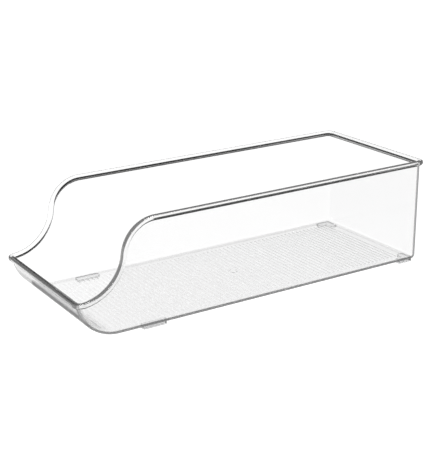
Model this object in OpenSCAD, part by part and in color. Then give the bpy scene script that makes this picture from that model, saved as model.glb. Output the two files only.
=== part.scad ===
// Clear fridge bin with a scooped front: a moulded tub with a rounded rim bead that follows
// the falling side edges, a ribbed floor and four low feet.
// Millimetres. +Z is up, +Y points to the rear wall, and z = 0 is the shelf that it stands on.

/* [Overall] */
// Length over the rim, front to rear
bin_length = 350; // [300:1:400]
// Width over the rim
bin_width = 143; // [120:1:180]
// Height from the shelf to the top of the rim
bin_height = 97; // [85:1:110]
// Height from the shelf to the top of the front lip
lip_height = 36.75; // [30:0.25:45]

/* [Walls] */
// Thickness of the walls and the floor
wall = 2; // [1.6:0.1:2.6]
// Lean of the side and rear walls from upright
draft_angle = 0.6; // [0.3:0.1:1.5]
// Outer radius of the upright corners and of the floor's edges
corner_radius = 5; // [4:0.25:7]
// Outer radius of the curve from the floor up to the front lip
front_curve_radius = 36.5; // [28:0.5:45]

/* [Scoop] */
// Distance from the front of the rim to where the side edges start to fall
shoulder_setback = 72.5; // [65:0.5:90]
// Radius of the shoulder at the top of each falling edge
shoulder_radius = 28.5; // [20:0.5:34]

/* [Rim bead] */
// How far the bead stands out past the wall
rim_overhang = 3; // [2:0.25:4]
// How far the bead stands out past the wall on the inside
rim_inside = 0.2; // [0.15:0.05:0.5]
// Height of the bead
rim_height = 4.5; // [3.5:0.25:6]
// Rounding of the bead's corners, as a share of a full round
rim_roundness = 0.9; // [0.5:0.05:1]

/* [Floor ribs] */
// Distance from one rib to the next
rib_pitch = 4.47; // [3.5:0.01:6]
// Width of a rib at the floor
rib_width = 2.6; // [1.5:0.1:3.2]
// Height of a rib
rib_height = 0.45; // [0.3:0.05:0.8]
// Bare strip between the ribs and the side walls
rib_side_margin = 10.5; // [6:0.5:14]
// Bare strip between the ribs and the rear wall
rib_rear_margin = 11.5; // [6:0.5:20]
// How far the ribs run up the front curve
rib_front_climb = 14; // [0:0.5:20]

/* [Gate mark] */
// Radius of the small round mark where the plastic entered the mould
gate_radius = 4; // [2:0.5:6]
// How far the mark stands down from the floor's underside
gate_height = 0.4; // [0.2:0.1:0.8]
// How far the mark lies behind the middle of the bin
gate_setback = 12; // [0:1:30]

/* [Feet] */
// Height of the feet
foot_height = 2.3; // [1.5:0.1:4]
// Width of a foot
foot_width = 6.5; // [5:0.25:9]
// Length of the straight front feet
front_foot_length = 22; // [16:1:30]
// Distance from the front of the rim to the middle of the front feet
front_foot_setback = 72; // [64:1:90]
// Length of each leg of the L-shaped rear feet
rear_foot_leg = 15; // [11:0.5:22]
// How far the feet's outer sides stand in from the foot of the walls
foot_inset = 3; // [2.5:0.25:5]
// Rounding of the feet's upright edges
foot_radius = 1.5; // [0.5:0.25:2.25]

/* [Hidden] */

clear = [0.88, 0.92, 0.94, 0.45];
clear_foot = [0.80, 0.86, 0.90, 0.6];
fine = 32;           // facets of a full turn on the rounded corners
arc_step = 7.5;      // degrees between points along the large curves
over = 10;           // how far cutting forms reach past what they cut

// ---- Heights ----
base_z = foot_height;                       // underside of the floor
round_z = base_z + corner_radius;           // middle of the floor's rounded edges
rim_z = bin_height - rim_height / 2;        // middle of the bead on the side and rear walls
lip_z = lip_height - rim_height / 2;        // middle of the bead on the front lip

// ---- Outer faces of the walls at a height: the draft makes the tub narrower downwards ----
function inset(z) = (rim_z - z) * tan(draft_angle);
function side_x(z) = bin_width / 2 - rim_overhang - inset(z);
function rear_y(z) = bin_length / 2 - rim_overhang - inset(z);

// ---- Front curve: an arc that leaves the floor level and is nearly upright at the lip ----
front_centre_z = base_z + front_curve_radius;
lip_drop = max(0, front_centre_z - lip_z);
front_centre_y = -bin_length / 2 + rim_overhang + sqrt(pow(front_curve_radius, 2) - pow(lip_drop, 2));

// ---- Side edge: two arcs that meet tangent, from the shoulder down to the lip ----
lip_mid_y = -bin_length / 2 + (wall / 2 + rim_overhang);
shoulder_y = -bin_length / 2 + shoulder_setback;
edge_run = shoulder_y - lip_mid_y;
edge_drop = rim_z - lip_z;
edge_slope = 2 * atan(edge_drop / edge_run);
foot_arc_radius = edge_run / sin(edge_slope) - shoulder_radius;
edge_steps = ceil(edge_slope / arc_step);

// Points [y, z] of the falling edge, from the lip up to the shoulder
side_edge = concat(
    [for (i = [0:edge_steps])
        let (a = edge_slope * i / edge_steps)
        [lip_mid_y + foot_arc_radius * sin(a), lip_z + foot_arc_radius * (1 - cos(a))]],
    [for (i = [edge_steps - 1:-1:0])
        let (a = edge_slope * i / edge_steps)
        [shoulder_y - shoulder_radius * sin(a), rim_z - shoulder_radius * (1 - cos(a))]]);

// Height of the edge's lower arc over a place y, for the lip's corners
function edge_z(y) =
    lip_z + foot_arc_radius - sqrt(pow(foot_arc_radius, 2) - pow(y - lip_mid_y, 2));

// ---- Rounded tub forms: balls at the corners of a core, hulled ----
// A ball with points at its poles and on its equator, so that it is true to size there
module ball(r) {
    rotate_extrude($fn = fine)
        polygon([for (i = [0:fine / 2]) let (a = 180 * i / (fine / 2) - 90) [max(0, r * cos(a)), r * sin(a)]]);
}

// Both sides of the core at one place along the profile
module ball_pair(y, z, r) {
    for (side = [-1, 1])
        translate([side * (side_x(z) - corner_radius), y, z])
            ball(r);
}

// The tub, solid, with balls of radius r: corner_radius gives its outside, less gives its inside
module tub_form(r) {
    high_z = bin_height + over;
    hull() {
        ball_pair(rear_y(round_z) - corner_radius, round_z, r);
        ball_pair(rear_y(high_z) - corner_radius, high_z, r);
        for (a = [0:arc_step:90])
            ball_pair(
                front_centre_y - (front_curve_radius - corner_radius) * sin(a),
                front_centre_z - (front_curve_radius - corner_radius) * cos(a),
                r);
        ball_pair(front_centre_y - (front_curve_radius - corner_radius), high_z, r);
    }
}

// Everything below the side edges and the lip
module below_edge() {
    rotate([90, 0, 90])
        linear_extrude(bin_width + 2 * over, center = true)
            polygon(concat(
                [[-bin_length / 2 - over, -over], [-bin_length / 2 - over, lip_z]],
                side_edge,
                [[bin_length / 2 + over, rim_z], [bin_length / 2 + over, -over]]));
}

// ---- Rim bead: one rounded section swept along the whole edge ----
bead_width = wall + rim_overhang + rim_inside;
bead_centre = (rim_overhang - rim_inside) / 2;    // outward from the wall's middle
path_radius = corner_radius - wall / 2;      // plan corner of the wall's middle
corner_steps = 5;
function wall_mid_x(z) = side_x(z) - wall / 2;
rear_mid_y = rear_y(rim_z) - wall / 2;

// One place on the path: [x, y, z] and the outward direction in plan
function corner_stop(cx, cy, a, z) =
    [[cx + path_radius * cos(a), cy + path_radius * sin(a), z], [cos(a), sin(a), 0]];
function front_corner(side) = [
    for (i = [0:corner_steps])
        let (a = side > 0 ? -90 + 90 * i / corner_steps : 180 + 90 * i / corner_steps)
        let (cy = lip_mid_y + path_radius)
        let (z = edge_z(cy + path_radius * sin(a)))
        corner_stop(side * (wall_mid_x(lip_z) - path_radius), cy, a, z)];
function rear_corner(side) = [
    for (i = [0:corner_steps])
        let (a = side > 0 ? 90 * i / corner_steps : 90 + 90 * i / corner_steps)
        corner_stop(side * (wall_mid_x(rim_z) - path_radius), rear_mid_y - path_radius, a, rim_z)];
function falling_edge(side) = [
    for (p = side_edge)
        if (p[0] > lip_mid_y + path_radius + wall / 2)
            [[side * wall_mid_x(p[1]), p[0], p[1]], [side, 0, 0]]];
function reversed(list) = [for (i = [len(list) - 1:-1:0]) list[i]];

rim_path = concat(
    front_corner(1), falling_edge(1), rear_corner(1),
    rear_corner(-1), reversed(falling_edge(-1)), front_corner(-1));
stops = len(rim_path);

// The bead's section: a superellipse, [outward, along the wall], round the wall's top
bead_points = 12;
bead_power = 2 / rim_roundness;
function rounded(v) = sign(v) * pow(abs(v), 2 / bead_power);
bead_section = [
    for (i = [0:bead_points - 1])
        let (a = 360 * i / bead_points)
        [bead_centre + bead_width / 2 * rounded(cos(a)), rim_height / 2 * rounded(sin(a))]];

function unit(v) = v / norm(v);
function bead_ring(i) =
    let (before = rim_path[(i + stops - 1) % stops][0])
    let (after = rim_path[(i + 1) % stops][0])
    let (here = rim_path[i][0])
    let (along = unit(unit(after - here) + unit(here - before)))
    let (plain = rim_path[i][1])
    let (out = unit(plain - (plain * along) * along))
    let (up = cross(out, along))
    [for (p = bead_section) here + p[0] * out + p[1] * up];

module rim_bead() {
    rings = [for (i = [0:stops - 1]) each bead_ring(i)];
    skin = [
        for (i = [0:stops - 1], j = [0:bead_points - 1])
            let (k = (i + 1) % stops)
            let (m = (j + 1) % bead_points)
            [i * bead_points + j, i * bead_points + m, k * bead_points + m, k * bead_points + j]];
    polyhedron(rings, skin, convexity = 6);
}

// ---- Floor ribs: low ridges across the floor, the first few up the front curve ----
rib_root = wall / 4;                         // how deep a rib is rooted in the floor
rib_top_width = rib_width / 2;               // flat top of a rib
inner_curve_radius = front_curve_radius - wall;
rib_half_length = side_x(base_z) - wall - rib_side_margin;
rib_last_y = rear_y(base_z) - wall - rib_rear_margin;
rib_count = floor((rib_last_y - front_centre_y + rib_front_climb) / rib_pitch);

module rib() {
    hull() {
        translate([-rib_half_length, -rib_width / 2, -rib_root])
            cube([2 * rib_half_length, rib_width, rib_root]);
        translate([-rib_half_length + rib_height, -rib_top_width / 2, 0])
            cube([2 * (rib_half_length - rib_height), rib_top_width, rib_height]);
    }
}

// Sets a rib at a distance along the floor from where the front curve starts
module on_floor(distance) {
    climb = max(0, -distance) / inner_curve_radius * 180 / PI;
    translate([0, front_centre_y, front_centre_z])
        rotate([-climb, 0, 0])
            translate([0, max(0, distance), -inner_curve_radius])
                children();
}

module floor_ribs() {
    for (i = [0:rib_count])
        on_floor(rib_last_y - front_centre_y - i * rib_pitch)
            rib();
}

// ---- Gate mark: a flat button under the floor, rooted half the floor's thickness deep ----
module gate_mark() {
    translate([0, gate_setback, base_z - gate_height])
        cylinder(r1 = gate_radius - gate_height, r2 = gate_radius, h = gate_height + wall / 2, $fn = fine);
}

// ---- One moulding ----
module bin_shell() color(clear) {
    intersection() {
        difference() {
            tub_form(corner_radius);
            tub_form(corner_radius - wall);
        }
        below_edge();
    }
    rim_bead();
    floor_ribs();
    gate_mark();
}

// ---- Feet ----
foot_outer_x = side_x(base_z) - foot_inset;
foot_outer_y = rear_y(base_z) - foot_inset;
seat_z = (base_z + round_z) / 2;             // a foot's height before the underside is cut out of it

// A leg of a foot in plan, short of its rounding by foot_radius all round
module leg(length_x, length_y) {
    translate([foot_radius, foot_radius])
        square([length_x - 2 * foot_radius, length_y - 2 * foot_radius]);
}

// Half the tub's section at its rounded underside, from the middle out, and its mirror image
module lower_section(half) {
    edge = half - corner_radius;
    arc = [
        for (i = [0:fine / 4])
            let (a = 360 * i / fine)
            [edge + corner_radius * sin(a), round_z - corner_radius * cos(a)]];
    polygon(concat(arc, [for (i = [fine / 4:-1:0]) [-arc[i][0], arc[i][1]]]));
}

// The tub's rounded underside over the feet, which their top faces follow
module underside() {
    intersection() {
        rotate([90, 0, 0])
            linear_extrude(bin_length, center = true)
                lower_section(side_x(round_z));
        rotate([90, 0, 90])
            linear_extrude(bin_width, center = true)
                lower_section(rear_y(round_z));
    }
}

module seated() {
    difference() {
        linear_extrude(seat_z)
            offset(r = foot_radius, $fn = fine)
                children();
        underside();
    }
}

module front_foot() {
    seated()
        translate([foot_outer_x - foot_width, -bin_length / 2 + front_foot_setback - front_foot_length / 2])
            leg(foot_width, front_foot_length);
}

module rear_foot() {
    seated()
        translate([foot_outer_x - rear_foot_leg, foot_outer_y - rear_foot_leg]) {
            translate([rear_foot_leg - foot_width, 0])
                leg(foot_width, rear_foot_leg);
            translate([0, rear_foot_leg - foot_width])
                leg(rear_foot_leg, foot_width);
        }
}

module front_left_foot() color(clear_foot) mirror([1, 0, 0]) front_foot();
module front_right_foot() color(clear_foot) front_foot();
module rear_left_foot() color(clear_foot) mirror([1, 0, 0]) rear_foot();
module rear_right_foot() color(clear_foot) rear_foot();

bin_shell();
front_left_foot();
front_right_foot();
rear_left_foot();
rear_right_foot();
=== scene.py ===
# %% [markdown]
# # A clear fridge bin with a scooped front
#
# The object is one moulding of water-clear plastic on four low feet: a floor with fine ribs, three
# walls and a low front, and a rounded bead along the whole edge. Clear plastic has hardly any
# colour of its own. What the eye sees is how its rounded edges bend the room behind them, so the
# lesson is about two things: surfaces that are truly smooth, and a room worth bending.

# %% Load the frame
import math

import bmesh
import bpy
from mathutils import Matrix, Vector


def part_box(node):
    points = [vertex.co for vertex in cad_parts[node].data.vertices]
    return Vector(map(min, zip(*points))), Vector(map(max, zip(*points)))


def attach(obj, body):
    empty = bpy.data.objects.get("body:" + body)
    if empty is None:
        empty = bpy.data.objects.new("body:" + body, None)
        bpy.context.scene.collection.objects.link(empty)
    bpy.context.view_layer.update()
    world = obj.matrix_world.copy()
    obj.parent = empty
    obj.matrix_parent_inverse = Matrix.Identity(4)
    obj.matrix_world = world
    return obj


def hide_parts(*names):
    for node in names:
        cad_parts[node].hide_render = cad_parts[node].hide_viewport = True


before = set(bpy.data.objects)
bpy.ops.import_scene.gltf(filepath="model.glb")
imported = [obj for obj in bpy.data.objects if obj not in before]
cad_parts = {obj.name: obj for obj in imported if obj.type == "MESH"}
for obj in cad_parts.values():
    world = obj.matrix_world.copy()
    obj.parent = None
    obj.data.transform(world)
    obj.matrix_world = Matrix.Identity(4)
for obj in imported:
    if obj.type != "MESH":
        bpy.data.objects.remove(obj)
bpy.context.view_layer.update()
scene = bpy.context.scene

# %% [markdown]
# ## Sizes
#
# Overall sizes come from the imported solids. The values below are the moulding's own: its wall, its
# roundings and the draft that lets it leave the mould. Metres throughout, as in the frame. The
# front of the bin looks along -Y, and the table is at height 0.

# %% Sizes of the moulding
MM = 0.001
shell_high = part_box("bin_shell")[1]
half_length = shell_high.y
half_width = shell_high.x
bin_top = shell_high.z

wall = 2.0 * MM                     # thickness of the walls and the floor
draft = math.radians(0.6)           # lean of the side and rear walls
corner_radius = 5.0 * MM            # outside rounding of corners and floor edges
inside_radius = corner_radius - wall
front_radius = 36.5 * MM            # outside radius of the curve up to the lip
rim_overhang = 3.0 * MM             # bead past the wall, outside
rim_inside = 0.2 * MM               # bead past the wall, inside
rim_height = 4.5 * MM
lip_height = 36.75 * MM

base_z = 2.3 * MM                   # underside of the floor, which is the height of the feet
round_z = base_z + corner_radius    # middle height of the rounded floor edges
rim_z = bin_top - rim_height / 2    # middle of the bead on the sides and the rear
lip_z = lip_height - rim_height / 2


def side_x(z):
    """Outside face of a side wall at a height."""
    return half_width - rim_overhang - (rim_z - z) * math.tan(draft)


def rear_y(z):
    """Outside face of the rear wall at a height."""
    return half_length - rim_overhang - (rim_z - z) * math.tan(draft)


print("length, width, height in mm:",
      [round(v / MM, 1) for v in (2 * half_length, 2 * half_width, bin_top)])

# %% [markdown]
# ## The tub as an offset of its core
#
# Rounded mouldings are easiest to describe from the inside. Take a sharp-edged core, 5 mm smaller
# than the tub all round. Every outside point lies 5 mm off that core, and every inside point 3 mm
# off it, so both skins keep the wall's 2 mm everywhere, corners too. Boxes with bevels would do for
# an opaque bin, but here each small fault in a corner shows as a smear of light.

# %% The core's outline, seen from the side
front_centre_z = base_z + front_radius
front_centre_y = (-half_length + rim_overhang
                  + math.sqrt(front_radius ** 2 - (front_centre_z - lip_z) ** 2))
core_front_radius = front_radius - corner_radius
core_front_y = front_centre_y - core_front_radius


def core_half_width(z):
    return side_x(z) - corner_radius


def core_rear_y(z):
    return rear_y(z) - corner_radius


def nearest_on_core(y, z):
    """Nearest place of the core, seen from the side: a place inside it is its own nearest."""
    if y < front_centre_y and z < front_centre_z:
        dy, dz = y - front_centre_y, z - front_centre_z
        share = min(1.0, core_front_radius / math.hypot(dy, dz))
        return front_centre_y + dy * share, front_centre_z + dz * share
    if y < core_front_y:
        return core_front_y, z
    core_z = max(z, round_z)
    return min(y, core_rear_y(core_z)), core_z


def on_skin(point, offset):
    """Moves a point to the skin that lies offset outside the core."""
    x, y, z = point
    core_y, core_z = nearest_on_core(y, z)
    core_x = math.copysign(min(abs(x), core_half_width(core_z)), x)
    away = Vector((x - core_x, y - core_y, z - core_z))
    return Vector((core_x, core_y, core_z)) + away.normalized() * offset


print("core: %.1f mm wide at the floor" % (2 * core_half_width(round_z) / MM))

# %% [markdown]
# ## Columns that all sheets share
#
# Floor, skins and lip are grids of faces, welded to each other at the end. A weld is closed only
# where the points of both sides fall together, so all grids use the same places across the bin:
# its middle, where the ribs fall away, and where the rounded edges begin.

# %% Columns across the bin, on its right half
rib_height = 0.13 * MM
rib_end_run = 2 * rib_height        # length over which a rib falls away at its end
rib_side_margin = 10.5 * MM
rib_half_length = side_x(base_z) - wall - rib_side_margin
path_radius = corner_radius - wall / 2  # of the rim's corners, along the middle of the wall


def side_wall_x(z):
    """Middle of a side wall at a height."""
    return side_x(z) - wall / 2


lip_end_x = side_wall_x(lip_z) - path_radius
lip_columns = [0.0, rib_half_length - rib_end_run, rib_half_length, lip_end_x]
corner_turns = 10                   # steps round a rounded corner or edge
edge_angles = [90 * i / corner_turns for i in range(corner_turns + 1)]
print("columns in mm:", [round(x / MM, 2) for x in lip_columns], "and", corner_turns, "round the edge")

# %% [markdown]
# ## The rim's path
#
# The bead follows the edge of the moulding: along the lip, round the front corner, up an S of two
# arcs that meet tangent, along the side, and round the rear corner. A curve object could carry a
# section along it, but the section might twist where the path climbs. Stations with their own
# outward direction keep it facing straight out. Only the right half is worked out, and the left is
# its mirror image.

# %% The S, worked out from its ends
shoulder_setback = 72.5 * MM        # from the front of the bead to where the side rim turns down
shoulder_radius = 28.5 * MM
shoulder_y = -half_length + shoulder_setback
lip_y = -half_length + rim_overhang + wall / 2
edge_run = shoulder_y - lip_y
edge_drop = rim_z - lip_z
edge_slope = 2 * math.atan(edge_drop / edge_run)
foot_arc_radius = edge_run / math.sin(edge_slope) - shoulder_radius
arc_turns = 26                      # steps along each arc
print("S: lower arc %.1f mm" % (foot_arc_radius / MM),
      "and steepest at %.1f degrees" % math.degrees(edge_slope))

# %% The front corner climbs already
def lower_edge_z(y):
    """Height of the S's lower arc over a place y."""
    return lip_z + foot_arc_radius - math.sqrt(foot_arc_radius ** 2 - (y - lip_y) ** 2)


def plan_corner(centre_x, centre_y, angle):
    """A place on a rounded corner seen from above, and the direction outwards there."""
    a = math.radians(angle)
    out = Vector((math.cos(a), math.sin(a), 0))
    return centre_x + path_radius * math.cos(a), centre_y + path_radius * math.sin(a), out


print("front corner climbs", round((lower_edge_z(lip_y + path_radius) - lip_z) / MM, 2), "mm")

# %% Stations along the rim: (position, outward direction)
front, right, rear = Vector((0, -1, 0)), Vector((1, 0, 0)), Vector((0, 1, 0))


def lip_stations():
    """Along the lip from its middle, and round the front corner."""
    stations = [(Vector((x, lip_y, lip_z)), front) for x in lip_columns]
    for angle in edge_angles[1:]:
        x, y, out = plan_corner(lip_end_x, lip_y + path_radius, angle - 90)
        stations.append((Vector((x, y, lower_edge_z(y))), out))
    return stations


def s_stations():
    """Up the lower arc, then back along the upper one to the shoulder."""
    places = []
    start = math.asin(path_radius / foot_arc_radius)
    for i in range(1, arc_turns + 1):
        a = start + (edge_slope - start) * i / arc_turns
        places.append((lip_y + foot_arc_radius * math.sin(a),
                       lip_z + foot_arc_radius * (1 - math.cos(a))))
    for i in range(arc_turns - 1, -1, -1):
        a = edge_slope * i / arc_turns
        places.append((shoulder_y - shoulder_radius * math.sin(a),
                       rim_z - shoulder_radius * (1 - math.cos(a))))
    return [(Vector((side_wall_x(z), y, z)), right) for y, z in places]


def rear_stations():
    """Round the rear corner and along the rear wall to its middle."""
    rear_mid_y = rear_y(rim_z) - wall / 2
    rear_end_x = side_wall_x(rim_z) - path_radius
    stations = []
    for angle in edge_angles:
        x, y, out = plan_corner(rear_end_x, rear_mid_y - path_radius, angle)
        stations.append((Vector((x, y, rim_z)), out))
    for x in reversed(lip_columns[:-1]):
        stations.append((Vector((x * rear_end_x / lip_end_x, rear_mid_y, rim_z)), rear))
    return stations


right_stations = lip_stations() + s_stations() + rear_stations()
print("rim:", len(right_stations), "stations on the right half")

# %% [markdown]
# ## Ribs on the floor
#
# The ribs repeat at one pitch from the rear wall to part of the way up the front curve. That is
# work for Geometry Nodes: the base mesh is one pitch of floor with its ridge, the nodes set it out
# along a line, and a last step wraps the front end of the strip round the curve. The ridges are
# low and softly rounded, because clear plastic turns even a tenth of a millimetre into a line.

# %% One pitch of ribbed floor
rib_pitch = 4.47 * MM
rib_width = 3.4 * MM
rib_rear_margin = 11.5 * MM
rib_front_climb = 14 * MM           # how far the ribs go up the front curve
rib_last_y = rear_y(base_z) - wall - rib_rear_margin
rib_count = int((rib_last_y - front_centre_y + rib_front_climb) / rib_pitch) + 1
first_rib_y = rib_last_y - (rib_count - 1) * rib_pitch


def ridge(across, along):
    """Height of a ridge: rounded across, and falling away over a short run at its ends."""
    u = min(1.0, abs(along) / (rib_width / 2))
    v = min(1.0, max(0.0, (rib_half_length - abs(across)) / rib_end_run))
    return rib_height * (0.5 + 0.5 * math.cos(math.pi * u)) * (0.5 - 0.5 * math.cos(math.pi * v))


print("ribs:", rib_count)

# %% The strip's grid: one pitch long, the full width of the floor
def strip_columns():
    """Places across the floor as (x, height above the floor), with the rounded edges at both sides."""
    half = core_half_width(round_z)
    right_side = [(x, 0.0) for x in lip_columns[:-1]] + [(half, 0.0)]
    for angle in edge_angles[1:]:
        a = math.radians(angle)
        right_side.append((half + inside_radius * math.sin(a), inside_radius * (1 - math.cos(a))))
    return [(-x, h) for x, h in reversed(right_side[1:])] + right_side


def strip_rows(steps=10):
    """Places along one pitch: a bare border on both sides of the ridge."""
    ridge_rows = [rib_width * (i / steps - 0.5) for i in range(steps + 1)]
    return [-rib_pitch / 2] + ridge_rows + [rib_pitch / 2]


columns = strip_columns()
rows = strip_rows()
print("grid:", len(rows), "rows of", len(columns), "points")

# %% The strip as a mesh
def grid_faces(row_count, column_count, start=0):
    return [(start + i * column_count + j, start + i * column_count + j + 1,
             start + (i + 1) * column_count + j + 1, start + (i + 1) * column_count + j)
            for i in range(row_count - 1) for j in range(column_count - 1)]


def new_object(name, points, faces):
    mesh = bpy.data.meshes.new(name)
    mesh.from_pydata([tuple(p) for p in points], [], faces)
    obj = bpy.data.objects.new(name, mesh)
    scene.collection.objects.link(obj)
    return obj


strip = new_object("rib_strip", [(x, y, h + ridge(x, y)) for y in rows for x, h in columns],
                   grid_faces(len(rows), len(columns)))
print("one pitch of floor:", len(strip.data.polygons), "faces")

# %% [markdown]
# The tree below is short: a line of points, the strip on each, one mesh, and a bend. The bend works
# on positions: what lies in front of the curve's centre is turned about that centre by an angle
# that grows with the distance. Heights above the floor turn into depths inside the curve, so the
# rounded edges and the ridges follow it too. First come two helpers that write a tree's sums.

# %% Helpers: sums as nodes
def feed(tree, target, value):
    """Links a socket to the target, or writes a plain value into it."""
    if isinstance(value, bpy.types.NodeSocket):
        tree.links.new(value, target)
    else:
        target.default_value = value


def sums_in(tree):
    """Gives a function that writes Math nodes, so that a tree reads like the sum it works out."""
    def do(operation, *values):
        node = tree.nodes.new("ShaderNodeMath")
        node.operation = operation
        for target, value in zip(node.inputs, values):
            feed(tree, target, value)
        return node.outputs[0]
    return do


print("helpers ready: feed, sums_in")

# %% Nodes that repeat the strip
weld_reach = 0.005 * MM             # points closer than this are one point


def repeated_strip(tree, given):
    """The strip on each point of a line, as one welded mesh."""
    node, link = tree.nodes.new, tree.links.new
    line = node("GeometryNodeMeshLine")
    link(given["Ribs"], line.inputs["Count"])
    for name, target in (("First rib", "Start Location"), ("Pitch", "Offset")):
        along_floor = node("ShaderNodeCombineXYZ")
        link(given[name], along_floor.inputs["Y"])
        link(along_floor.outputs[0], line.inputs[target])
    place = node("GeometryNodeInstanceOnPoints")
    link(line.outputs["Mesh"], place.inputs["Points"])
    link(given["Strip"], place.inputs["Instance"])
    realize = node("GeometryNodeRealizeInstances")
    link(place.outputs["Instances"], realize.inputs["Geometry"])
    weld = node("GeometryNodeMergeByDistance")
    weld.inputs["Distance"].default_value = weld_reach
    link(realize.outputs["Geometry"], weld.inputs["Geometry"])
    return weld.outputs[0]


print("strips are welded over", weld_reach / MM, "mm")

# %% Nodes that wrap the strip round the front curve
def wrapped_position(tree, given):
    """New place of each point: turned about the curve's middle, and widened as the walls lean out."""
    do = sums_in(tree)
    here = tree.nodes.new("ShaderNodeSeparateXYZ")
    tree.links.new(tree.nodes.new("GeometryNodeInputPosition").outputs[0], here.inputs[0])
    x, y, height = here.outputs
    before = do("SUBTRACT", given["Curve middle Y"], y)
    turn = do("DIVIDE", do("MAXIMUM", before, 0.0), given["Curve radius"])
    depth = do("SUBTRACT", given["Curve radius"], height)
    flat_y = do("MAXIMUM", do("MULTIPLY", before, -1.0), 0.0)
    curved_y = do("SUBTRACT", given["Curve middle Y"], do("MULTIPLY", depth, do("SINE", turn)))
    rise = do("MULTIPLY", given["Core radius"], do("SUBTRACT", 1.0, do("COSINE", turn)))
    share = do("MINIMUM", do("DIVIDE", do("ABSOLUTE", x), given["Core half width"]), 1.0)
    widen = do("MULTIPLY", do("MULTIPLY", do("SIGN", x), share), do("MULTIPLY", rise, given["Lean"]))
    wrapped = tree.nodes.new("ShaderNodeCombineXYZ")
    feed(tree, wrapped.inputs["X"], do("ADD", x, widen))
    feed(tree, wrapped.inputs["Y"], do("ADD", curved_y, flat_y))
    feed(tree, wrapped.inputs["Z"],
         do("SUBTRACT", given["Curve middle Z"], do("MULTIPLY", depth, do("COSINE", turn))))
    return wrapped.outputs[0]


print("the curve starts", round((front_centre_y - first_rib_y) / MM, 1), "mm behind the first rib")

# %% The whole tree
floor_inputs = {
    "Strip": "NodeSocketGeometry", "Ribs": "NodeSocketInt", "Pitch": "NodeSocketFloat",
    "First rib": "NodeSocketFloat", "Curve middle Y": "NodeSocketFloat",
    "Curve middle Z": "NodeSocketFloat", "Curve radius": "NodeSocketFloat",
    "Core radius": "NodeSocketFloat", "Core half width": "NodeSocketFloat",
    "Lean": "NodeSocketFloat", "Material": "NodeSocketMaterial"}


def floor_tree():
    tree = bpy.data.node_groups.new("ribbed_floor", "GeometryNodeTree")
    for name, kind in floor_inputs.items():
        tree.interface.new_socket(name=name, in_out="INPUT", socket_type=kind)
    tree.interface.new_socket(name="Floor", in_out="OUTPUT", socket_type="NodeSocketGeometry")
    given = tree.nodes.new("NodeGroupInput").outputs
    wrap = tree.nodes.new("GeometryNodeSetPosition")
    feed(tree, wrap.inputs["Geometry"], repeated_strip(tree, given))
    feed(tree, wrap.inputs["Position"], wrapped_position(tree, given))
    finish = tree.nodes.new("GeometryNodeSetMaterial")
    feed(tree, finish.inputs["Geometry"], wrap.outputs[0])
    feed(tree, finish.inputs["Material"], given["Material"])
    feed(tree, tree.nodes.new("NodeGroupOutput").inputs[0], finish.outputs[0])
    return tree


ribbed_floor_tree = floor_tree()
print("tree:", len(ribbed_floor_tree.nodes), "nodes")

# %% Grow the ribbed floor
def applied(obj):
    """The object's plain mesh after its modifiers, which are then removed."""
    evaluated = obj.evaluated_get(bpy.context.evaluated_depsgraph_get())
    mesh = bpy.data.meshes.new_from_object(evaluated)
    obj.modifiers.clear()
    return mesh


def grow(obj, tree, values):
    """Runs a tree on an object with named inputs and returns the result as a plain mesh."""
    modifier = obj.modifiers.new(tree.name, "NODES")
    modifier.node_group = tree
    for item in tree.interface.items_tree:
        if item.in_out == "INPUT" and item.name in values:
            modifier[item.identifier] = values[item.name]
    return applied(obj)


inner_curve_radius = front_radius - wall
plastic = bpy.data.materials.new("clear_plastic")
ribbed_floor = grow(strip, ribbed_floor_tree, {
    "Ribs": rib_count, "Pitch": rib_pitch, "First rib": first_rib_y,
    "Curve middle Y": front_centre_y, "Curve middle Z": front_centre_z,
    "Curve radius": inner_curve_radius, "Core radius": core_front_radius,
    "Core half width": core_half_width(round_z), "Lean": math.tan(draft), "Material": plastic})
bpy.data.objects.remove(strip)
print("ribbed floor:", len(ribbed_floor.polygons), "faces, top at",
      round(max(v.co.z for v in ribbed_floor.vertices) / MM, 2), "mm")

# %% [markdown]
# ## The two skins
#
# Each skin is one sheet, laid along the core's side outline from the lip, down the front curve,
# along the floor, round the rear corner and up the rear wall. Its columns run across: flat in the
# middle and rounded at both edges. The side walls are flat, so each is one large face that closes
# what is left open.

# %% Rows of a skin: place (y, z) on the core and outward direction (y, z)
def front_row(angle):
    """A row on the front curve, turned forwards by an angle from straight down."""
    a = math.radians(angle)
    return (front_centre_y - core_front_radius * math.sin(a),
            front_centre_z - core_front_radius * math.cos(a), -math.sin(a), -math.cos(a))


def floor_row(y):
    return y, round_z, 0.0, -1.0


def rear_row(angle):
    """A row on the rounded edge between the floor and the rear wall."""
    a = math.radians(angle)
    return core_rear_y(round_z), round_z, math.sin(a), -math.cos(a)


def skin_row(row, offset):
    """The points of a row on the skin that lies offset outside the core."""
    core_y, core_z, out_y, out_z = row
    half = core_half_width(core_z)
    flat = core_half_width(round_z)
    right_side = [(x + (half - flat) * x / flat, offset) for x in lip_columns[:-1] + [flat]]
    for angle in edge_angles[1:]:
        a = math.radians(angle)
        right_side.append((half + offset * math.sin(a), offset * math.cos(a)))
    both_sides = [(-x, off) for x, off in reversed(right_side[1:])] + right_side
    return [Vector((x, core_y + off * out_y, core_z + off * out_z)) for x, off in both_sides]


front_steps = 26                    # rows up the front curve
skin_stop = 5 * MM                  # the skins end this far under the middle of the lip's bead
lip_turn = math.degrees(math.acos((front_centre_z - lip_z + skin_stop) / front_radius))
rear_turn_end = 90 - math.degrees(draft)
rear_rows = [rear_row(rear_turn_end * i / corner_turns) for i in range(corner_turns + 1)]
front_rows = [front_row(lip_turn * (1 - i / front_steps)) for i in range(front_steps + 1)]
print("front curve: turned by %.1f degrees where the bead takes over" % lip_turn)

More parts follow.
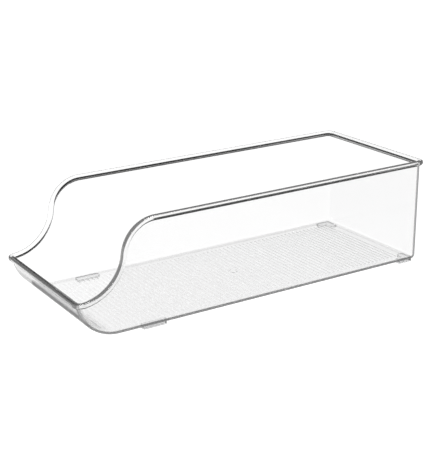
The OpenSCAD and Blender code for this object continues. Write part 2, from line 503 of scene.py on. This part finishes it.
# %% [markdown]
# ## The bead
#
# The bead's section is a squarish round on top and a softer one below, thicker outwards than
# inwards. On the outside a hollow curve 2 mm high leads from the wall into it. That curve bends the
# dark end of the room into view and draws the line under the rim. A plain bevel would leave the
# line out. The section is carried along the rim's stations, square to the path all the way. The
# first and the last point of each section are put exactly on the skins, which join there.

# %% Round part of the section, as (outward, up)
upper_roundness = 0.65              # below 1 is squarer than an ellipse, above 1 more pointed
lower_roundness = 1.05


def bead_point(angle):
    roundness = upper_roundness if 0 < angle < 180 else lower_roundness
    c, s = math.cos(math.radians(angle)), math.sin(math.radians(angle))
    width = wall + rim_overhang + rim_inside
    return ((rim_overhang - rim_inside) / 2 + width / 2 * math.copysign(abs(c) ** roundness, c),
            rim_height / 2 * math.copysign(abs(s) ** roundness, s))


def bead_aim(angle, length):
    """Direction along the round part at an angle, as long as given."""
    a, b = bead_point(angle - 0.5), bead_point(angle + 0.5)
    step = (b[0] - a[0], b[1] - a[1])
    span = math.hypot(*step)
    return step[0] / span * length, step[1] / span * length


print("bead in mm: from %.1f to %.1f outwards" % (bead_point(180)[0] / MM, bead_point(0)[0] / MM))

# %% The whole section, from the outer skin over the top to the inner skin
outer_leave, inner_meet = -86, 205  # angles at which the round part begins and ends
bead_steps = 40
curve_steps = 5
hollow = 2.0 * MM                   # height of the hollow curve outside
wall_pull, bead_pull = 0.55, 0.35   # how long it keeps to the wall and to the bead, in heights
inner_drop = 1.2 * MM               # height of the small curve inside
inner_pull = 0.4 * MM


def curve_between(start, start_aim, end, end_aim):
    """Cubic curve from start to end, leaving and arriving along the two aims."""
    points = []
    for i in range(curve_steps):
        t = i / curve_steps
        points.append(tuple(
            (1 - t) ** 3 * start[k] + 3 * (1 - t) ** 2 * t * (start[k] + start_aim[k])
            + 3 * (1 - t) * t ** 2 * (end[k] - end_aim[k]) + t ** 3 * end[k] for k in (0, 1)))
    return points


round_start, round_end = bead_point(outer_leave), bead_point(inner_meet)
outer_start = (wall / 2, round_start[1] - hollow)
inner_end = (-wall / 2, round_end[1] - inner_drop)
outer_curve = curve_between(outer_start, (0, hollow * wall_pull),
                            round_start, bead_aim(outer_leave, hollow * bead_pull))
round_part = [bead_point(outer_leave + (inner_meet - outer_leave) * i / bead_steps)
              for i in range(bead_steps)]
inner_curve = curve_between(round_end, bead_aim(inner_meet, inner_pull), inner_end, (0, -inner_pull))
bead_section = outer_curve + round_part + inner_curve + [inner_end]
print("section:", len(bead_section), "points")

# %% Carry the section along the rim
blend = 9                           # points over which a section settles onto each skin


def path_direction(stations, i):
    """Direction of the path at a station. At both middles it runs straight across the bin."""
    if i == 0:
        return right
    if i == len(stations) - 1:
        return -right
    here = stations[i][0]
    to_next = (stations[i + 1][0] - here).normalized()
    from_last = (here - stations[i - 1][0]).normalized()
    return (to_next + from_last).normalized()


def section_at(here, plain_out, along):
    """The section's points at a station, with both ends settled onto the skins."""
    out = (plain_out - plain_out.dot(along) * along).normalized()
    up = out.cross(along)
    ring = [here + o * out + u * up for o, u in bead_section]
    outer_shift = on_skin(ring[0], corner_radius) - ring[0]
    inner_shift = on_skin(ring[-1], inside_radius) - ring[-1]
    for k in range(blend):
        ring[k] += outer_shift * (1 - k / blend)
        ring[-1 - k] += inner_shift * (1 - k / blend)
    return ring


def mirrored_ring(ring):
    return [Vector((-p.x, p.y, p.z)) for p in ring]


right_rings = [section_at(here, plain_out, path_direction(right_stations, i))
               for i, (here, plain_out) in enumerate(right_stations)]
for p in right_rings[0] + right_rings[-1]:
    p.x = 0.0
rings = right_rings + [mirrored_ring(ring) for ring in reversed(right_rings[1:-1])]
print("bead:", len(rings), "sections of", len(bead_section), "points")

# %% [markdown]
# ## One closed shell
#
# A renderer takes each surface that light meets as a way into the plastic or out of it, by turns. So
# clear plastic has to be one closed skin: an open edge or a face inside would show as a dark or
# bright patch. All grids are collected and welded where they meet, and the two side walls are
# filled as flat faces.

# %% A collector of grids
class Patches:
    """Collects grids of points and their faces."""

    def __init__(self):
        self.points = []
        self.faces = []

    def add_grid(self, grid):
        start = len(self.points)
        for row in grid:
            self.points.extend(row)
        self.faces += grid_faces(len(grid), len(grid[0]), start)

    def add_mesh(self, mesh):
        start = len(self.points)
        self.points.extend(v.co.copy() for v in mesh.vertices)
        self.faces += [tuple(start + v for v in p.vertices) for p in mesh.polygons]


print("a grid of", len(rows), "by", len(columns), "points has",
      len(grid_faces(len(rows), len(columns))), "faces")

# %% Lay the grids
half_columns = len(lip_columns) + corner_turns


def skin_edge(half_rings, index):
    """End of a skin at the rim: the sections' first (0) or last (-1) points, from side to side."""
    right_side = [ring[index] for ring in half_rings]
    return mirrored_ring(reversed(right_side[1:])) + right_side


lip_rings = right_rings[:half_columns]
rear_rings = right_rings[:-half_columns - 1:-1]
strip_front = first_rib_y - rib_pitch / 2
strip_rear = rib_last_y + rib_pitch / 2
strip_turn = math.degrees((front_centre_y - strip_front) / inner_curve_radius)
upper_rows = [front_row(lip_turn + (strip_turn - lip_turn) * i / front_steps)
              for i in range(front_steps + 1)]

shell_patches = Patches()
shell_patches.add_grid([skin_edge(lip_rings, 0)]
                       + [skin_row(row, corner_radius) for row in front_rows + rear_rows]
                       + [skin_edge(rear_rings, 0)])
shell_patches.add_grid([skin_edge(lip_rings, -1)]
                       + [skin_row(row, inside_radius) for row in upper_rows])
shell_patches.add_mesh(ribbed_floor)
shell_patches.add_grid([skin_row(row, inside_radius) for row in [floor_row(strip_rear)] + rear_rows]
                       + [skin_edge(rear_rings, -1)])
shell_patches.add_grid(rings + [rings[0]])
print("collected:", len(shell_patches.points), "points")

# %% Weld them and close the side walls
def weld_and_close(name, patches, reach=0.003 * MM):
    obj = new_object(name, patches.points, patches.faces)
    shell = bmesh.new()
    shell.from_mesh(obj.data)
    bmesh.ops.remove_doubles(shell, verts=shell.verts, dist=reach)
    bmesh.ops.dissolve_degenerate(shell, edges=shell.edges, dist=reach / 10)
    open_edges = [e for e in shell.edges if len(e.link_faces) == 1]
    filled = bmesh.ops.holes_fill(shell, edges=open_edges, sides=0)["faces"]
    bmesh.ops.recalc_face_normals(shell, faces=shell.faces)
    still_open = sum(len(e.link_faces) != 2 for e in shell.edges)
    shell.to_mesh(obj.data)
    print(f"{name}: {len(obj.data.polygons)} faces, {len(filled)} filled, {still_open} open edges, "
          f"{shell.calc_volume() * 1e6:.1f} cm3")
    shell.free()
    return obj


bin_shell = weld_and_close("bin_shell_clear", shell_patches)

# %% [markdown]
# ## Gate mark
#
# The plastic entered the mould under the middle of the floor and left a small round button there.
# It is turned from a short profile and joined to the shell by an exact union, so that no skin is
# left between them. A button that merely touched the floor would show a bright disc.

# %% Helpers for closed forms
def solid_from_loops(name, loops):
    """A closed form from loops of points, lowest first, with a flat face at each end."""
    count = len(loops[0])
    points = [p for loop in loops for p in loop]
    faces = [(k * count + i, k * count + (i + 1) % count,
              (k + 1) * count + (i + 1) % count, (k + 1) * count + i)
             for k in range(len(loops) - 1) for i in range(count)]
    faces.append(tuple(reversed(range(count))))
    faces.append(tuple(range(len(points) - count, len(points))))
    return new_object(name, points, faces)


def circle(centre, radius, z, segments=48):
    return [(centre[0] + radius * math.cos(math.tau * i / segments),
             centre[1] + radius * math.sin(math.tau * i / segments), z) for i in range(segments)]


def join(obj, other):
    """Joins two closed forms into one skin. The other object is removed."""
    modifier = obj.modifiers.new("join", "BOOLEAN")
    modifier.object = other
    modifier.operation = "UNION"
    modifier.solver = "EXACT"
    obj.data = applied(obj)
    bpy.data.objects.remove(other)


print("helpers ready: solid_from_loops, circle, join")

# %% Turn the gate mark and join it to the shell
gate_radius = 4 * MM
gate_height = 0.4 * MM
gate_place = (0, 12 * MM)
gate_profile = [(gate_radius - gate_height, base_z - gate_height),  # (radius, height), lowest first
                (gate_radius - gate_height / 3, base_z - gate_height * 0.8),
                (gate_radius, base_z), (gate_radius, base_z + wall / 2)]
gate = solid_from_loops("gate_mark", [circle(gate_place, r, z) for r, z in gate_profile])
join(bin_shell, gate)
print("shell with gate mark:", len(bin_shell.data.polygons), "faces")

# %% [markdown]
# ## Feet
#
# Four low clear feet stand under the rounded edges of the floor: a straight one along each side
# near the front, and an angled one in each rear corner. Each is an outline with rounded corners,
# drawn up from a small bevel. Its top is not cut with the tub, because cuts with curved faces leave
# slivers. Instead the height of the tub's underside is worked out for each point of the top, and
# the top is moved there. A gap as thin as a hair keeps two clear faces from lying on each other.

# %% Outlines of the feet
foot_width = 6.5 * MM
front_foot_length = 22 * MM
front_foot_setback = 72 * MM        # from the front of the bead to the middle of the foot
rear_foot_leg = 15 * MM
foot_inset = 3 * MM                 # from the outside of the walls
foot_radius = 1.5 * MM
foot_outer_x = side_x(base_z) - foot_inset
foot_outer_y = rear_y(base_z) - foot_inset


def mirrored(corners):
    return [(-x, y) for x, y in reversed(corners)]


x0, x1 = foot_outer_x - foot_width, foot_outer_x
y0 = -half_length + front_foot_setback - front_foot_length / 2
y1 = y0 + front_foot_length
straight_foot = [(x0, y0), (x1, y0), (x1, y1), (x0, y1)]
far_x, far_y = foot_outer_x - rear_foot_leg, foot_outer_y - rear_foot_leg
inner_y = foot_outer_y - foot_width
angled_foot = [(x0, far_y), (x1, far_y), (x1, foot_outer_y), (far_x, foot_outer_y),
               (far_x, inner_y), (x0, inner_y)]
foot_shapes = {"front_right_foot": straight_foot, "front_left_foot": mirrored(straight_foot),
               "rear_right_foot": angled_foot, "rear_left_foot": mirrored(angled_foot)}
print("feet:", list(foot_shapes))

# %% Helpers for outlines
def rounded_outline(corners, radius, steps=6):
    """Outline with each corner rounded, whether it turns in or out. The corners run anticlockwise."""
    points = []
    count = len(corners)
    for i, corner in enumerate(corners):
        here = Vector(corner)
        a = (Vector(corners[i - 1]) - here).normalized()
        b = (Vector(corners[(i + 1) % count]) - here).normalized()
        middle = here + (a + b) * radius
        for k in range(steps + 1):
            t = math.radians(90 * k / steps)
            points.append(middle - b * radius * math.cos(t) - a * radius * math.sin(t))
    return points


def inward(points, distance):
    """Points of an anticlockwise outline, moved in by a distance."""
    moved = []
    for i, p in enumerate(points):
        d = (points[(i + 1) % len(points)] - points[i - 1]).normalized()
        moved.append(p + Vector((-d.y, d.x)) * distance)
    return moved


print("a straight foot's outline:", len(rounded_outline(straight_foot, foot_radius)), "points")

# %% The feet before their tops are shaped
foot_bevel = 0.35 * MM
bevel_angles = (0, 30, 60, 90)


def foot_blank(name, corners):
    """Straight sides, with a rounded lower edge."""
    outline = rounded_outline(corners, foot_radius)
    loops = []
    for angle in bevel_angles:
        inset = foot_bevel * (1 - math.sin(math.radians(angle)))
        height = foot_bevel * (1 - math.cos(math.radians(angle)))
        loops.append([(p.x, p.y, height) for p in inward(outline, inset)])
    loops.append([(p.x, p.y, round_z) for p in outline])
    return solid_from_loops(name, loops)


feet = {node: foot_blank(node + "_clear", corners) for node, corners in foot_shapes.items()}
print("faces of each blank:", {node: len(foot.data.polygons) for node, foot in feet.items()})

# %% Seat the feet under the tub
air_gap = 0.05 * MM
seat_cuts = 5                       # lines cut into a foot's top where the tub begins to curve
seat_step = foot_inset / 6          # and how far they lie apart
on_the_line = 1e-7                  # metres within which a point counts as lying on such a line


def underside(x, y):
    """Height of the tub's rounded underside over a place on the table."""
    dx = max(0.0, abs(x) - core_half_width(round_z))
    dy = max(0.0, y - core_rear_y(round_z))
    return round_z - math.sqrt(corner_radius ** 2 - dx ** 2 - dy ** 2)


def seat_under_tub(foot):
    """Cuts lines into a foot's top, and brings the top to just below the tub."""
    mesh = bmesh.new()
    mesh.from_mesh(foot.data)
    edges_of_flat_floor = (((1, 0, 0), core_half_width(round_z)),
                           ((-1, 0, 0), core_half_width(round_z)),
                           ((0, 1, 0), core_rear_y(round_z)))
    for cut in range(seat_cuts):
        for axis, place in edges_of_flat_floor:
            bmesh.ops.bisect_plane(mesh, geom=mesh.verts[:] + mesh.edges[:] + mesh.faces[:],
                                   dist=on_the_line, plane_no=axis,
                                   plane_co=Vector(axis) * (place + cut * seat_step))
    for v in mesh.verts:
        if v.co.z > base_z / 2:
            v.co.z = underside(v.co.x, v.co.y) - air_gap
    bmesh.ops.recalc_face_normals(mesh, faces=mesh.faces)
    mesh.to_mesh(foot.data)
    mesh.free()


for foot in feet.values():
    seat_under_tub(foot)
print("faces of each foot:", {node: len(foot.data.polygons) for node, foot in feet.items()})

# %% [markdown]
# ## Shading
#
# Smooth shading alone would tilt the light across the large flat walls, because each point's normal
# is the mean of all faces round it. Normals weighted by area let the large faces win, so walls stay
# flat up to their edges and only the roundings bend light.

# %% Smooth shading that keeps flat faces flat
sharp_from = math.radians(50)       # edges that turn by more than this stay sharp


def shade(obj):
    obj.data.shade_smooth()
    obj.data.set_sharp_from_angle(angle=sharp_from)
    weighted = obj.modifiers.new("weighted", "WEIGHTED_NORMAL")
    weighted.keep_sharp = True
    obj.data = applied(obj)


for piece in [bin_shell, *feet.values()]:
    shade(piece)
print("shaded:", len(bin_shell.data.polygons), "faces on the shell")

# %% [markdown]
# ## Clear plastic
#
# Rigid clear plastic refracts more than window glass, so the index is 1.58. A colour on the surface
# would be counted at each crossing, so the shell's surface is pure white, and a slight absorption
# inside takes more from light that travels far along a wall, as in the real thing. The feet are a
# little greyer. A faint waviness stands for the moulding's flow marks. Two additions help where a
# renderer would need very many steps. Rays that look for a lamp pass straight through. Light that
# still runs inside the walls after twelve surfaces is given one grey level as a painted glow: an
# emission stands in for that light. In the real bin such light leaks out along the edges and
# brightens them, while a ray cut short there would turn black.

# %% Values of the plastic
plastic_index = 1.58
wave_scale = 60                     # waves to the metre
wave_strength = 0.01
wave_depth = 0.1 * MM
roughest = 0.004                    # roughness of the dullest places
shadow_tint = (0.93, 0.935, 0.94, 1)
light_bounces = 12                  # surfaces that light is followed through
painted_glow_level = 0.30                 # painted glow: brightness given to light that still runs inside the walls after that
print("index", plastic_index, "and", light_bounces, "surfaces")

# %% The moulded surface
def moulded_surface(tree, tint):
    """The refracting surface with its flow marks."""
    nodes, link = tree.nodes, tree.links.new
    surface = nodes.new("ShaderNodeBsdfPrincipled")
    surface.inputs["Base Color"].default_value = (*tint, 1)
    surface.inputs["Transmission Weight"].default_value = 1
    surface.inputs["IOR"].default_value = plastic_index
    waves = nodes.new("ShaderNodeTexNoise")
    waves.inputs["Scale"].default_value = wave_scale
    waves.inputs["Detail"].default_value = 1
    link(nodes.new("ShaderNodeTexCoord").outputs["Object"], waves.inputs["Vector"])
    bump = nodes.new("ShaderNodeBump")
    bump.inputs["Strength"].default_value = wave_strength
    bump.inputs["Distance"].default_value = wave_depth
    link(waves.outputs["Fac"], bump.inputs["Height"])
    link(bump.outputs["Normal"], surface.inputs["Normal"])
    gloss = nodes.new("ShaderNodeMapRange")
    gloss.inputs["To Min"].default_value = 0.0
    gloss.inputs["To Max"].default_value = roughest
    link(waves.outputs["Fac"], gloss.inputs["Value"])
    link(gloss.outputs["Result"], surface.inputs["Roughness"])
    return surface.outputs[0]


def choose_shader(tree, chooser, off, on):
    """The shader off where the chooser is 0, the shader on where it is 1."""
    mix = tree.nodes.new("ShaderNodeMixShader")
    for target, source in zip(mix.inputs, (chooser, off, on)):
        tree.links.new(source, target)
    return mix.outputs[0]


print("roughness up to", roughest)

# %% The two materials: the shell's and the feet's
def clear_material(material, tint, absorption):
    material.use_nodes = True
    tree = material.node_tree
    tree.nodes.clear()
    out = tree.nodes.new("ShaderNodeOutputMaterial")
    path = tree.nodes.new("ShaderNodeLightPath")
    straight_through = tree.nodes.new("ShaderNodeBsdfTransparent")
    straight_through.inputs["Color"].default_value = shadow_tint
    # painted glow: an emission stands in for light still running inside the walls after the last
    # surface
    painted_glow = tree.nodes.new("ShaderNodeEmission")
    painted_glow.inputs["Color"].default_value = (painted_glow_level, painted_glow_level, painted_glow_level, 1)
    lit = choose_shader(tree, path.outputs["Is Shadow Ray"], moulded_surface(tree, tint),
                        straight_through.outputs[0])
    deep = sums_in(tree)("GREATER_THAN", path.outputs["Ray Depth"], light_bounces)
    tree.links.new(choose_shader(tree, deep, lit, painted_glow.outputs[0]), out.inputs["Surface"])
    inside = tree.nodes.new("ShaderNodeVolumeAbsorption")
    inside.inputs["Color"].default_value = (0, 0, 0, 1)
    inside.inputs["Density"].default_value = absorption
    tree.links.new(inside.outputs[0], out.inputs["Volume"])
    return material


clear_material(plastic, (1.0, 1.0, 1.0), 5)
foot_plastic = clear_material(bpy.data.materials.new("clear_foot"), (0.97, 0.97, 0.975), 20)
print("materials:", [m.name for m in bpy.data.materials])

# %% Dress the pieces and let them stand for their CAD nodes
def dress(obj, material, node):
    obj.data.materials.clear()
    obj.data.materials.append(material)
    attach(obj, "root")
    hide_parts(node)


dress(bin_shell, plastic, "bin_shell")
for node, foot in feet.items():
    dress(foot, foot_plastic, node)
print("dressed:", 1 + len(feet), "pieces")

# %% [markdown]
# ## Table
#
# A clear thing shows the room. Photographers of glass set it on a white table that ends in the dark
# a little way behind it: flat walls show the table straight behind them and stay clear, while
# rounded edges bend the dark into view and draw themselves as lines. The camera itself sees nothing
# but white. The table's glow has levels of its own for light that the plastic mirrors off its
# outside or its inside, which are painted reflections. A painted shadow darkens it where the bin
# stands on it, most in a strip under the front curve, and the lamps' shadows keep a share.

# %% Helpers: fades and choices
def fading(tree, value, start, end):
    """1 below start, falling smoothly to 0 at end."""
    node = tree.nodes.new("ShaderNodeMapRange")
    node.interpolation_type = "SMOOTHSTEP"
    for name, number in (("From Min", start), ("From Max", end), ("To Min", 1), ("To Max", 0)):
        node.inputs[name].default_value = number
    tree.links.new(value, node.inputs["Value"])
    return node.outputs[0]


def pick(tree, chooser, off, on):
    """The value off where the chooser is 0, the value on where it is 1."""
    node = tree.nodes.new("ShaderNodeMix")
    tree.links.new(chooser, node.inputs["Factor"])
    feed(tree, node.inputs["A"], off)
    feed(tree, node.inputs["B"], on)
    return node.outputs["Result"]


print("helpers ready: fading, pick")

# %% Helpers: where a ray goes and what it has met
camera_turn, camera_rise, camera_roll = (math.radians(v) for v in (58.531, 18.975, -1.036))
behind = (-math.sin(camera_turn), math.cos(camera_turn), 0)


def how_far_behind(tree, output):
    """How far a place or a direction lies behind the object, as the photograph looks at it."""
    node = tree.nodes.new("ShaderNodeVectorMath")
    node.operation = "DOT_PRODUCT"
    node.inputs[1].default_value = behind
    tree.links.new(tree.nodes.new("ShaderNodeTexCoord").outputs[output], node.inputs[0])
    return node.outputs["Value"]


def is_mirrored(tree, path):
    """1 for rays that have been mirrored at least once."""
    return sums_in(tree)("GREATER_THAN", path.outputs["Glossy Depth"], 0.5)


def reflected_inside(tree, path):
    """1 for rays that have been mirrored and have also been through the plastic."""
    do = sums_in(tree)
    entered = do("GREATER_THAN", path.outputs["Transmission Depth"], 0.5)
    return do("MULTIPLY", is_mirrored(tree, path), entered)


print("behind the object:", [round(v, 3) for v in behind])

# %% Levels of the table
table_end = 0.72                    # metres behind the object
table_fade = 0.05                   # metres over which it falls into the dark
straight_table = 1.19               # a little over white, for what each wall reflects away
mirrored_table = 0.3                # painted reflection: the table's level as the plastic's outer faces mirror it
mirrored_front = 1.1                # painted reflection, the same in front of the object
front_fade = (-0.2, -0.1)           # Y over which the brighter painted reflection in front ends
reflected_table = 0.4               # painted reflection: the table's level as the plastic's inner faces mirror it
reflected_painted_shade = 0.15              # painted shade: the inner-mirror level, darker under the object
painted_contact_shadow = 0.2                 # painted shadow: share of the table's glow taken away under the object
painted_shadow_fade = (0.97, 1.03)         # where that painted shadow ends, in shares of the object's half sizes
painted_strip_distance = 164 * MM            # painted shadow strip: how far in front of the middle the front curve comes closest
# half width over which the painted shadow strip fades, and how much glow it takes away
painted_strip_fade = (4 * MM, 10 * MM)
painted_strip_shadow = 0.55
shadow_share = 0.1                  # share of the table's brightness that comes from the lamps


def table_masks(tree):
    """Masks on the table: the painted shadow under the object and in the strip under its front curve,
    and its front.
    """
    do = sums_in(tree)
    place = tree.nodes.new("ShaderNodeSeparateXYZ")
    tree.links.new(tree.nodes.new("ShaderNodeTexCoord").outputs["Object"], place.inputs[0])
    x, y, _ = place.outputs
    share = do("MAXIMUM", do("DIVIDE", do("ABSOLUTE", x), half_width),
               do("DIVIDE", do("ABSOLUTE", y), half_length))
    under = fading(tree, share, *painted_shadow_fade)
    from_strip = do("ABSOLUTE", do("ADD", y, painted_strip_distance))
    painted_strip_mask = do("MULTIPLY", under, fading(tree, from_strip, *painted_strip_fade))
    return under, painted_strip_mask, fading(tree, y, *front_fade)


print("table ends", table_end, "m behind the object")

# %% Brightness of the table
def table_strength(tree, path):
    """Brightness of the table for each kind of ray, with its painted shadow and painted reflections."""
    do = sums_in(tree)
    under, painted_strip_mask, in_front = table_masks(tree)
    # painted shadow: the glow is taken down under the object and in the strip under the front curve
    left_by_painted_shadow = do("SUBTRACT", 1.0, do("ADD", do("MULTIPLY", under, painted_contact_shadow),
                                      do("MULTIPLY", painted_strip_mask, painted_strip_shadow)))
    on_table = fading(tree, how_far_behind(tree, "Object"), table_end - table_fade, table_end)
    straight = do("MULTIPLY", left_by_painted_shadow, do("MULTIPLY", on_table, straight_table))
    # painted reflections: what the plastic mirrors of the table gets levels of its own
    painted_outer_reflection = do("MULTIPLY", left_by_painted_shadow, pick(tree, in_front, mirrored_table, mirrored_front))
    painted_inner_reflection = pick(tree, under, reflected_table, reflected_painted_shade)
    outside = pick(tree, is_mirrored(tree, path), straight, painted_outer_reflection)
    through = pick(tree, reflected_inside(tree, path), outside, painted_inner_reflection)
    return pick(tree, path.outputs["Is Camera Ray"], through, straight_table)


print("under the bin the table keeps", 1 - painted_contact_shadow, "of its light")

# %% The table
def table_material():
    """White that glows, dark past the table's end, with a painted shadow under the bin and a share left
    to the lamps and their shadows.
    """
    material = bpy.data.materials.new("studio_floor")
    material.use_nodes = True
    tree = material.node_tree
    tree.nodes.clear()
    do = sums_in(tree)
    out = tree.nodes.new("ShaderNodeOutputMaterial")
    paint = tree.nodes.new("ShaderNodeBsdfDiffuse")
    paint.inputs["Color"].default_value = (0.9, 0.9, 0.9, 1)
    glow = tree.nodes.new("ShaderNodeEmission")
    path = tree.nodes.new("ShaderNodeLightPath")
    tree.links.new(table_strength(tree, path), glow.inputs["Strength"])
    bent = do("ADD", path.outputs["Is Glossy Ray"], path.outputs["Is Transmission Ray"])
    seen = do("MINIMUM", do("ADD", bent, path.outputs["Is Camera Ray"]), 1.0)
    glow_share = do("MULTIPLY", seen, 1 - shadow_share)
    surface = choose_shader(tree, glow_share, paint.outputs[0], glow.outputs[0])
    tree.links.new(surface, out.inputs["Surface"])
    return material


floor_half = 30                     # metres
floor = new_object("floor", [(-floor_half, -floor_half, 0), (floor_half, -floor_half, 0),
                             (floor_half, floor_half, 0), (-floor_half, floor_half, 0)], [(0, 1, 2, 3)])
floor.data.materials.append(table_material())
print("floor:", 2 * floor_half, "m square")

# %% [markdown]
# ## Room
#
# The room is dark above the table and behind its end, which draws the lines of the rim. To the sides
# and in front a low band of light remains. Light that was mirrored inside the plastic sees a room of
# its own, with a bright back wall, so that the flat floor mirrors white. An environment picture could
# do the same, but a few ramps on the direction are easier to tune and stand for a plain studio.

# %% Levels of the room
low_band = (5, 10)                  # degrees above the table over which the low light ends
band_sides = (0.2, 0.4)             # how far backwards a direction points where the band ends
back_wall_levels = [(0, 0.4), (12, 0.7), (17, 1.0), (36, 0.9), (46, 0.0)]


def back_wall_light(tree, height):
    """Brightness of the back wall at a height, from a ramp over the sine of the angle."""
    ramp = tree.nodes.new("ShaderNodeValToRGB")
    stops = ramp.color_ramp.elements
    while len(stops) < len(back_wall_levels):
        stops.new(0.5)
    for stop, (angle, level) in zip(stops, back_wall_levels):
        stop.position = math.sin(math.radians(angle))
        stop.color = (level, level, level, 1)
    tree.links.new(height, ramp.inputs["Fac"])
    return ramp.outputs["Color"]


print("back wall, degrees above the table and brightness:", back_wall_levels)

# %% The world
def light_room(world):
    world.use_nodes = True
    tree = world.node_tree
    tree.nodes.clear()
    out = tree.nodes.new("ShaderNodeOutputWorld")
    light = tree.nodes.new("ShaderNodeBackground")
    light.inputs["Color"].default_value = (1, 1, 1, 1)
    path = tree.nodes.new("ShaderNodeLightPath")
    split = tree.nodes.new("ShaderNodeSeparateXYZ")
    tree.links.new(tree.nodes.new("ShaderNodeTexCoord").outputs["Generated"], split.inputs[0])
    height = split.outputs["Z"]
    low = fading(tree, height, *(math.sin(math.radians(angle)) for angle in low_band))
    aside = fading(tree, how_far_behind(tree, "Generated"), *band_sides)
    straight = sums_in(tree)("MULTIPLY", low, aside)
    through = pick(tree, reflected_inside(tree, path), straight, back_wall_light(tree, height))
    tree.links.new(pick(tree, path.outputs["Is Camera Ray"], through, 1.0), light.inputs["Strength"])
    tree.links.new(light.outputs[0], out.inputs["Surface"])


scene.world = bpy.data.worlds.new("studio_room")
light_room(scene.world)
print("world:", len(scene.world.node_tree.nodes), "nodes")

# %% [markdown]
# ## Lamps
#
# Two large soft lamps, one overhead and one from the front, give the faint shadow that sets the bin
# on the table. They are hidden from light that has passed through the plastic, where their outlines
# would show as hard bright squares.

# %% Softboxes
softboxes = {                       # place, width in metres and power in watts
    "overhead_softbox": ((-0.5, 0.3, 2.0), 0.8, 28),
    "front_softbox": ((1.2, -1.4, 1.6), 0.6, 12)}


def softbox(name, place, target, width, power):
    lamp = bpy.data.lights.new(name, "AREA")
    lamp.shape = "SQUARE"
    lamp.size = width
    lamp.energy = power
    obj = bpy.data.objects.new(name, lamp)
    obj.location = place
    obj.rotation_euler = (Vector(target) - Vector(place)).to_track_quat("-Z", "Y").to_euler()
    obj.visible_transmission = False
    scene.collection.objects.link(obj)


for name, (place, width, power) in softboxes.items():
    softbox(name, place, (0, 0, bin_top / 2), width, power)

# %% [markdown]
# ## Camera
#
# The camera's place, turn and lens were fitted to the edges of the bin in the photograph, which also
# settles the bin's proportions. A long lens from a metre away keeps the far rim nearly as long as
# the near one. The renderer follows light through two more surfaces than the plastic needs.

# %% Camera
camera_distance = 1027.2 * MM
camera_target = Vector((-9.13, 0.0, 39.92)) * MM
focal_pixels, picture_height = 1147.2, 465
sensor_size = 36

back = Vector((math.sin(camera_turn) * math.cos(camera_rise),
               -math.cos(camera_turn) * math.cos(camera_rise), math.sin(camera_rise)))
level = Vector((math.cos(camera_turn), math.sin(camera_turn), 0))
upright = back.cross(level)
picture_right = level * math.cos(camera_roll) + upright * math.sin(camera_roll)
picture_up = upright * math.cos(camera_roll) - level * math.sin(camera_roll)
lens = bpy.data.cameras.new("camera")
lens.sensor_width = sensor_size
lens.lens = sensor_size * focal_pixels / picture_height
lens.clip_end = 100
camera = bpy.data.objects.new("camera", lens)
camera.matrix_world = Matrix((picture_right, picture_up, back)).transposed().to_4x4()
camera.matrix_world.translation = camera_target + back * camera_distance
scene.collection.objects.link(camera)
scene.camera = camera
print("camera at", [round(v, 3) for v in camera.matrix_world.translation])

# %% Light paths and colour
followed = light_bounces + 2
scene.cycles.max_bounces = followed
scene.cycles.transmission_bounces = followed
scene.cycles.glossy_bounces = followed
scene.view_settings.view_transform = "Standard"
print("light is followed through", followed, "surfaces")
